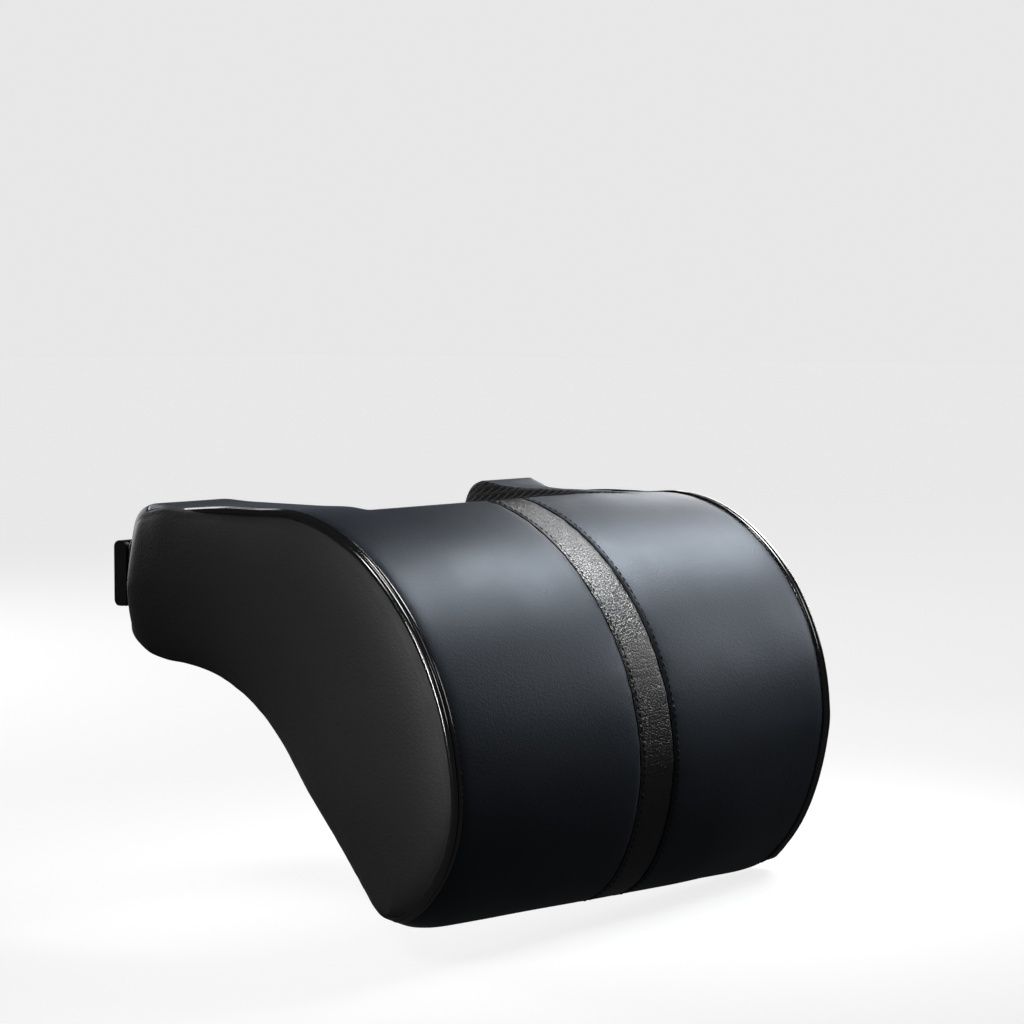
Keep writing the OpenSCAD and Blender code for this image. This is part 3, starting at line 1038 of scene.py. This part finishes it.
def webbing(path):
    """Flat webbing with rounded edges along a path in the X-Y plane, upright in Z."""
    path = np.asarray(path, float)
    way = unit(np.gradient(path, axis=0))
    out = np.stack([way[:, 1], -way[:, 0]], axis=1)
    half_w, half_t = WEB_W / 2, WEB_T / 2
    outline = []
    for z_side in (1, -1):
        for a in np.linspace(90 * z_side, -90 * z_side, 10):
            r = math.radians(a)
            outline.append((half_t * math.sin(r), z_side * (half_w - half_t + half_t * math.cos(r))))
        for t in np.arange(1, 6) / 6:
            outline.append((-half_t * z_side, z_side * (half_w - half_t) * (1 - 2 * t)))
    vertices = []
    for p, o in zip(path, out):
        for across, z in outline:
            vertices.append((p[0] + o[0] * across, p[1] + o[1] * across, z))
    return vertices, loft_faces(len(path), len(outline))


def straight(a, b, step=2 * MM):
    count = max(2, int(math.dist(a, b) / step))
    return [tuple(np.array(a) + (np.array(b) - np.array(a)) * t) for t in np.linspace(0, 1, count)]


def arc(centre, radius, start, end):
    """Points round an arc between two angles in degrees."""
    return [
        (centre[0] + radius * math.cos(a), centre[1] + radius * math.sin(a))
        for a in np.radians(np.linspace(start, end, 16))
    ]


# Where the plug's bar stands, round which the strap turns back
PLUG_BAR_X = -85 * MM


def make_straps():
    main_low, main_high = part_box("strap_main")
    back_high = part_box("strap_return")[1]
    bar = (PLUG_BAR_X, (main_low.y + main_high.y) / 2)
    turn_r = (main_high.y - main_low.y - WEB_T) / 2
    near_y, far_y = main_low.y + WEB_T / 2, back_high.y - WEB_T / 2
    path = straight((main_high.x, near_y), (bar[0], near_y))[:-1] + arc(bar, turn_r, 270, 90)
    add_piece("strap_main_web", *webbing(path), "webbing", stands_for=["strap_main"])

    glide_low, glide_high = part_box("tri_glide")
    glide_x = (glide_low.x + glide_high.x) / 2
    glide_r = (back_high.x - glide_x) - WEB_T / 2
    centre = (glide_x, far_y - glide_r)
    path = straight((bar[0], far_y), (glide_x, far_y))[:-1] + arc(centre, glide_r, 90, -90)
    piece = add_piece("strap_return_web", *webbing(path), "webbing", None, ["strap_return"])
    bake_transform(piece)

    low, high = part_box("left_anchor_webbing")
    r = bar[1] - main_low.y - WEB_T / 2
    centre = (low.x + r + WEB_T / 2, bar[1])
    flat_y = low.y + WEB_T / 2
    path = straight((high.x, flat_y), (centre[0] + 2.5 * MM, flat_y))
    path += [(centre[0] - 0.4 * MM, flat_y + 0.25 * MM), (low.x + 1.4 * MM, flat_y + 1.4 * MM)]
    path += arc(centre, r, 205, 90)
    path += straight((centre[0] + 0.8 * MM, centre[1] + r), (centre[0] + 3 * MM, centre[1] + r))
    add_piece("left_anchor_web", *webbing(path), "webbing", stands_for=["left_anchor_webbing"])


def slab(low, high, round_r):
    """A soft flat pad that faces +Y: rounded corners, and a face that falls at its edges."""
    steps = 26
    low, high = np.array(low), np.array(high)
    middle, half = (low + high) / 2, (high - low) / 2
    front, back = [], []
    for i in range(steps + 1):
        for j in range(steps + 1):
            u, v = 2 * i / steps - 1, 2 * j / steps - 1
            x, z = u * half[0], v * half[2]
            over_x, over_z = abs(x) - (half[0] - round_r), abs(z) - (half[2] - round_r)
            if over_x > 0 and over_z > 0:
                reach = math.hypot(over_x, over_z)
                top = max(over_x, over_z)
                x = math.copysign(half[0] - round_r + over_x * top / reach, x)
                z = math.copysign(half[2] - round_r + over_z * top / reach, z)
            edge = (1 - abs(u) ** 7) * (1 - abs(v) ** 7)
            rise = 2 * half[1] * (0.35 + 0.65 * math.sqrt(max(edge, 0)))
            front.append((middle[0] + x, low[1] + rise, middle[2] + z))
            back.append((middle[0] + x, low[1], middle[2] + z))
    n = steps + 1
    count = n * n
    faces = []
    for i in range(steps):
        for j in range(steps):
            a = i * n + j
            faces.append([a, a + 1, a + n + 1, a + n])
            faces.append([count + a, count + a + n, count + a + n + 1, count + a + 1])
    rim = [i * n for i in range(n)] + [steps * n + j for j in range(1, n)]
    rim += [i * n + steps for i in range(steps - 1, -1, -1)] + list(range(steps - 1, 0, -1))
    for a, b in zip(rim, rim[1:] + rim[:1]):
        faces.append([a, b, count + b, count + a])
    return front + back, faces


def make_patches():
    """The two anchor patches, each with a row of stitches inside its edge."""
    inset = 2.6 * MM
    for side in ("left", "right"):
        node = side + "_anchor_patch"
        low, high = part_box(node)
        low.y -= 1.5 * MM
        piece = add_piece(node + "_pad", *slab(low, high, 4 * MM), "side_leather", stands_for=[node])
        x0, x1, z0, z1 = low.x + inset, high.x - inset, low.z + inset, high.z - inset
        corners = [(x0, z0), (x1, z0), (x1, z1), (x0, z1), (x0, z0)]
        parts = []
        for a, b in zip(corners, corners[1:]):
            line = np.array([(x, high.y - 0.12 * MM, z) for x, z in straight(a, b, 0.5 * MM)])
            normals = np.tile([0, 1.0, 0], (len(line), 1))
            parts.append(stitch_row(line, normals, 2.6 * MM, 0.7 * MM, 0.28 * MM))
        add_piece(side + "_patch_stitches", *join_parts(parts), "thread")


def make_anchor_stitches():
    """Dense bars of zigzag thread where the strap is sewn down."""
    low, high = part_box("anchor_stitches")
    parts = []
    for x in (low.x + 1.2 * MM, high.x - 1.2 * MM):
        count = int((high.z - low.z) / (0.55 * MM))
        rows = []
        for i in range(count + 1):
            side = 1 if i % 2 else -1
            z = low.z + (high.z - low.z) * i / count
            rows.append((x + side * 1.1 * MM, low.y + 0.1 * MM, z))
        parts.append(tube(rows, 0.26 * MM, 8, [(0, 1, 0)] * len(rows)))
    add_piece("anchor_bar_tacks", *join_parts(parts), "thread", stands_for=["anchor_stitches"])


make_straps()
make_patches()
make_anchor_stitches()

# ---- zip

# The directions up and out on the flat land of the zip
LAND_UP = np.array([0, 0.6, 0.8])
LAND_OUT = np.array([0, 0.8, -0.6])


def land_origin():
    """The middle of the zip on the cover, 0.4 mm below the middle of its tapes."""
    low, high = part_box("zip_tape_lower")[0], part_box("zip_tape_upper")[1]
    middle = np.array([0, (low.y + high.y) / 2, (low.z + high.z) / 2])
    return middle - LAND_OUT * 0.4 * MM


LAND = land_origin()


def on_land(x, up, out):
    return LAND + np.array([x, 0, 0]) + LAND_UP * up + LAND_OUT * out


TOOTH_PITCH = 1.5 * MM


def make_zip_teeth():
    """Two rows of teeth that mesh. Each tooth is thicker towards its head."""
    low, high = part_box("zip_teeth")
    parts = []
    for i in range(int((high.x - low.x) / TOOTH_PITCH)):
        side = 1 if i % 2 else -1
        x = low.x + (i + 0.5) * TOOTH_PITCH
        path, radii = [], []
        for t in np.linspace(0, 1, 7):
            crown = 1.25 + 0.35 * math.sin(math.pi * t)
            path.append(on_land(x, side * (2.0 - 2.7 * t) * MM, crown * MM))
            radii.append((0.5 + 0.22 * t ** 3) * MM)
        parts.append(tube(path, radii, 8))
    add_piece("zip_coil", *join_parts(parts), "buckle_plastic", stands_for=["zip_teeth"])


# The section of a tape in millimetres: how far from the middle of the zip, and how high
TAPE_SECTION = [(2.0, 0.0), (2.0, 0.8), (2.3, 1.15), (2.9, 1.15), (3.3, 0.75), (5, 0.62), (7, 0.6),
                (9, 0.58), (10.6, 0.5), (11, 0.2), (11, 0.0)]


def make_zip_tapes():
    """Knitted tapes with a corded edge beside the teeth."""
    for node, side in (("zip_tape_upper", 1), ("zip_tape_lower", -1)):
        low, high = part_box(node)
        xs = np.linspace(low.x, high.x, 90)
        vertices = [on_land(x, side * up * MM, out * MM) for x in xs for up, out in TAPE_SECTION]
        faces = [f[::side] for f in loft_faces(len(xs), len(TAPE_SECTION))]
        add_piece(node + "_knit", vertices, faces, "webbing", stands_for=[node])
        places = np.linspace(low.x + 2 * MM, high.x - 2 * MM, 300)
        line = np.array([on_land(x, side * 8.6 * MM, 0.62 * MM) for x in places])
        parts = stitch_row(line, np.tile(LAND_OUT, (300, 1)), 2.8 * MM, 0.7 * MM, 0.28 * MM)
        add_piece(node + "_stitches", *parts, "thread")


make_zip_teeth()
make_zip_tapes()

# ---- moulded and metal parts

# Each CAD node that is shown, with its material and the width of its rounded edges
SHOWN_NODES = {
    "buckle_socket": ("buckle_plastic", 0.7 * MM), "buckle_plug": ("buckle_plastic", 0.7 * MM),
    "prong_upper": ("buckle_plastic", 0.45 * MM), "prong_lower": ("buckle_plastic", 0.45 * MM),
    "tri_glide": ("buckle_plastic", 0.5 * MM), "zip_slider": ("zip_metal", 0.22 * MM),
    "zip_pull": ("zip_metal", 0.3 * MM), "zip_stops": ("zip_metal", 0.3 * MM),
}


def finish_cad_nodes():
    """The moulded parts keep their CAD shape and get rounded edges and their own materials."""
    for name, (slot, width) in SHOWN_NODES.items():
        node = nodes[name]
        node.data.materials.clear()
        node.data.materials.append(MATERIALS[slot])
        weld = node.modifiers.new("weld", "WELD")
        weld.merge_threshold = 1e-6
        bevel = node.modifiers.new("bevel", "BEVEL")
        bevel.width = width
        bevel.segments = 3
        bevel.limit_method = "ANGLE"
        bevel.angle_limit = math.radians(40)


finish_cad_nodes()

# ---- studio

# The strength of the backdrop and the floor, and of the even light from all round
BACKDROP = 0.8
AMBIENT = 0.03
FLOOR_HALF = 12
FLOOR_GAP = 1 * MM


def make_floor():
    """A pale floor. It shines a little by itself, so it stays pale right up to the backdrop."""
    g = Graph("floor")
    tone = g.noise(1.5, 2, 0.5)
    g.set(Base_Color=g.mixed(tone, grey(0.30), grey(0.32)))
    g.set(Roughness=g.varied(tone, 0.85, 0.9), Specular_IOR_Level=0.0)
    g.set(Emission_Color=grey(1), Emission_Strength=BACKDROP)
    size, z = FLOOR_HALF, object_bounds()[0].z - FLOOR_GAP
    mesh = bpy.data.meshes.new("floor")
    corners = [(-size, -size, z), (size, -size, z), (size, size, z), (-size, size, z)]
    mesh.from_pydata(corners, [], [(0, 1, 2, 3)])
    mesh.materials.append(g.material)
    floor = new_object("floor", mesh)
    floor.visible_diffuse = False
    floor.visible_glossy = False


def area_light(name, place, target, size, power, spread, tint=(1, 1, 1)):
    """A soft light at a place that points at a target. The camera doesn't see it."""
    data = bpy.data.lights.new(name, "AREA")
    data.shape = "RECTANGLE"
    data.size, data.size_y = size
    data.energy = power
    data.color = tint
    data.spread = math.radians(spread)
    light = new_object(name, data)
    light.visible_camera = False
    aim(light, place, Vector(target) - Vector(place))


def make_world():
    """A backdrop of the floor's tone for the camera, and a faint even light for everything else."""
    world = bpy.data.worlds.new("studio")
    world.use_nodes = True
    tree = world.node_tree
    background = tree.nodes["Background"]
    background.inputs["Color"].default_value = grey(1)
    path = tree.nodes.new("ShaderNodeLightPath")
    level = tree.nodes.new("ShaderNodeMapRange")
    level.inputs["To Min"].default_value = AMBIENT
    level.inputs["To Max"].default_value = BACKDROP
    tree.links.new(path.outputs["Is Camera Ray"], level.inputs["Value"])
    tree.links.new(level.outputs["Result"], background.inputs["Strength"])
    scene.world = world


KEY_TINT = (0.97, 0.985, 1.0)


def make_studio():
    area_light("key", (0.58, -0.12, 0.45), (0.21, -0.05, 0), (0.42, 0.4), 0.5, 36, KEY_TINT)
    area_light("low_right", (0.64, -0.3, 0.17), (0.16, -0.06, -0.01), (0.2, 0.2), 0.05, 50)
    area_light("front_left", (-0.75, -0.5, 0.5), (0, -0.02, 0), (0.3, 0.3), 0.25, 180)
    area_light("side", (-0.85, -0.02, 0.1), (-0.14, -0.07, -0.01), (0.05, 0.3), 0.085, 34)
    area_light("side_high", (-0.62, -0.03, 0.5), (-0.14, -0.07, 0), (0.05, 0.4), 0.06, 36)
    area_light("side_right", (0.85, 0.3, 0.15), (0.14, 0.02, 0), (0.4, 0.4), 0.4, 60)
    area_light("rear", (0.2, 1.4, 0.8), (0, 0, 0), (0.9, 0.6), 4.8, 180)
    area_light("rear_low", (-0.05, 1.5, 0.3), (0, 0, -0.02), (0.5, 0.6), 9, 180)
    make_world()
    scene.view_settings.view_transform = "Standard"
    scene.view_settings.look = "None"


make_floor()
make_studio()
